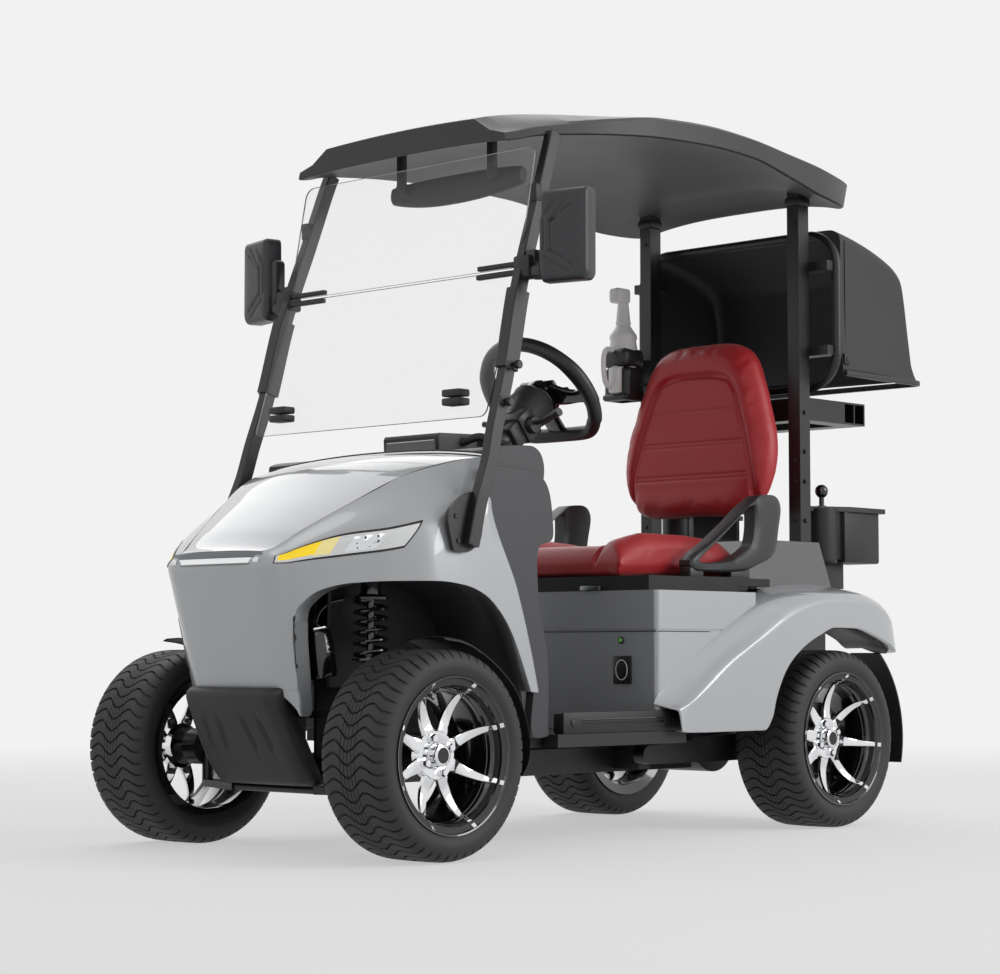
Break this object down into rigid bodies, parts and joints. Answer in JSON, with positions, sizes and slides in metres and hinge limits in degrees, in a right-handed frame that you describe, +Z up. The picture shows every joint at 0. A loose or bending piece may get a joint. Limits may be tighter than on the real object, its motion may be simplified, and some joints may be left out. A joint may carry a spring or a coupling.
{
  "type": "single-seat golf cart",
  "caption": "Electric golf cart for a single driver, with roof, windscreen, covered bag stand, side bins, steered front wheels and a rear drive axle.",
  "frame": {"origin": "on the ground under the middle of the whole cart's box", "axes": "+Z up, the front faces -Y, +X is the driver's left hand"},
  "size_m": [1.1738, 2.2689, 1.7779],
  "materials": {
    "tyre": "moulded rubber",
    "alloy": "machined spokes on a black painted rim",
    "black_metal": "black powder coat",
    "silver_paint": "silver metallic, clear coated",
    "black_plastic": "textured",
    "charcoal_plastic": "satin",
    "lamp_white": "diffuse lens",
    "lamp_clear": "clear lens",
    "lamp_red": "red lens",
    "clear_glass": "clear acrylic",
    "red_leather": "coated leather look, sewn",
    "cover_cloth": "coated cloth",
    "white_plastic": "smooth"
  },
  "bodies": {
    "chassis": {"a_pillars": "black_metal", "armrests": "black_plastic", "bag_cover": "cover_cloth", "bag_rack": "black_metal", "bag_well": "black_plastic", "battery_pack": "black_plastic", "bottle_holder": "black_plastic", "cabin_mirror": "black_plastic", "charge_socket": "black_plastic", "cover_hoop": "black_metal", "cross_members": "black_metal", "damper_towers": "black_metal", "dash_cowl": "black_plastic", "door_mirrors": "black_plastic", "floor_tray": "black_plastic", "frame_rails": "black_metal", "front_bumper": "black_plastic", "front_dampers": "black_metal", "front_fascia": "silver_paint", "front_fenders": "silver_paint", "front_suspension_arms": "black_metal", "headlights": "lamp_clear", "hood": "silver_paint", "light_bar": "lamp_white", "pedals": "black_plastic", "rear_axle_and_motor": "black_metal", "rear_dampers": "black_metal", "rear_deck": "black_plastic", "rear_fenders": "silver_paint", "rear_mudguards": "black_plastic", "roof": "charcoal_plastic", "roof_posts": "black_metal", "sand_bottle": "white_plastic", "seat_back": "red_leather", "seat_box": "silver_paint", "seat_cushion": "red_leather", "seat_frame": "black_plastic", "side_bins": "black_plastic", "steering_column": "black_plastic", "step_trims": "black_plastic", "tail_lamps": "lamp_red", "trailing_arms": "black_metal", "windscreen": "clear_glass"},
    "knuckle_left": {"knuckle_left": "black_metal", "front_mudguard_left": "black_plastic"},
    "knuckle_right": {"knuckle_right": "black_metal", "front_mudguard_right": "black_plastic"},
    "steering_wheel": {"steering_wheel": "black_plastic"},
    "wheel_front_left": {"tyre_front_left": "tyre", "rim_front_left": "alloy"},
    "wheel_front_right": {"tyre_front_right": "tyre", "rim_front_right": "alloy"},
    "wheel_rear_left": {"tyre_rear_left": "tyre", "rim_rear_left": "alloy"},
    "wheel_rear_right": {"tyre_rear_right": "tyre", "rim_rear_right": "alloy"}
  },
  "joints": [
    {"name": "steer_left", "type": "hinge", "parent": "chassis", "child": "knuckle_left", "pos_m": [0.322, -0.8765, 0.228], "axis": [0, 0, 1], "range_deg": [-25, 25]},
    {"name": "steer_right", "type": "hinge", "parent": "chassis", "child": "knuckle_right", "pos_m": [-0.322, -0.8765, 0.228], "axis": [0, 0, 1], "range_deg": [-25, 25]},
    {"name": "steering_wheel_turn", "type": "hinge", "parent": "chassis", "child": "steering_wheel", "pos_m": [0, -0.0635, 1.095], "axis": [0, 0.7771, 0.6293], "range_deg": [-250, 250]},
    {"name": "wheel_front_left_spin", "type": "hinge", "parent": "knuckle_left", "child": "wheel_front_left", "pos_m": [0.4002, -0.8765, 0.228], "axis": [1, 0, 0], "continuous": true},
    {"name": "wheel_front_right_spin", "type": "hinge", "parent": "knuckle_right", "child": "wheel_front_right", "pos_m": [-0.4002, -0.8765, 0.228], "axis": [1, 0, 0], "continuous": true},
    {"name": "wheel_rear_left_spin", "type": "hinge", "parent": "chassis", "child": "wheel_rear_left", "pos_m": [0.3667, 0.5891, 0.228], "axis": [1, 0, 0], "continuous": true},
    {"name": "wheel_rear_right_spin", "type": "hinge", "parent": "chassis", "child": "wheel_rear_right", "pos_m": [-0.3667, 0.5891, 0.228], "axis": [1, 0, 0], "continuous": true}
  ],
  "couplings": [
    {"joint": "steer_right", "follows": "steer_left", "ratio": 1},
    {"joint": "steering_wheel_turn", "follows": "steer_left", "ratio": 10}
  ]
}
